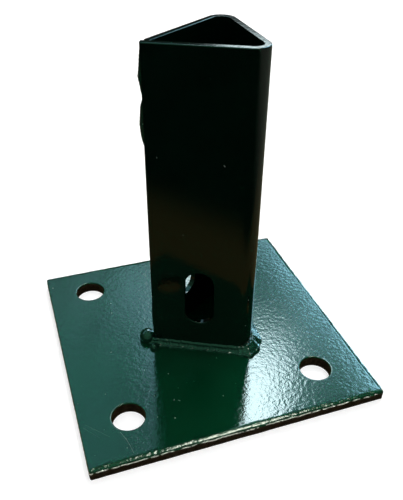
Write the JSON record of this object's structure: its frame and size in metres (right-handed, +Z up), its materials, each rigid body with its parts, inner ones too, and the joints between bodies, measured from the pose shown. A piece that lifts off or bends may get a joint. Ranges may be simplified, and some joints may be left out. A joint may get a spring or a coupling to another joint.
{
  "type": "post base",
  "caption": "Surface-mount post base: punched steel plate with an upright folded triangular sleeve, slotted low down, welded round its foot and stitch-welded at its seam.",
  "frame": {"origin": "middle of the base plate's underside, which rests on the ground", "axes": "+Z up along the sleeve, +X along the plate's front edge, +Y from the front edge to the back"},
  "size_m": [0.12, 0.116, 0.135],
  "materials": {
    "green_coat_plate": "gloss dark green powder coat with orange peel, worn bright along the sheared edge",
    "green_coat_sleeve": "gloss dark green powder coat",
    "green_coat_weld": "gloss dark green powder coat over rippled weld metal"
  },
  "bodies": {
    "root": {"base_plate": "green_coat_plate", "post_sleeve": "green_coat_sleeve", "foot_weld": "green_coat_weld", "seam_weld_top": "green_coat_weld", "seam_weld_upper": "green_coat_weld", "seam_weld_low": "green_coat_weld"}
  },
  "joints": []
}
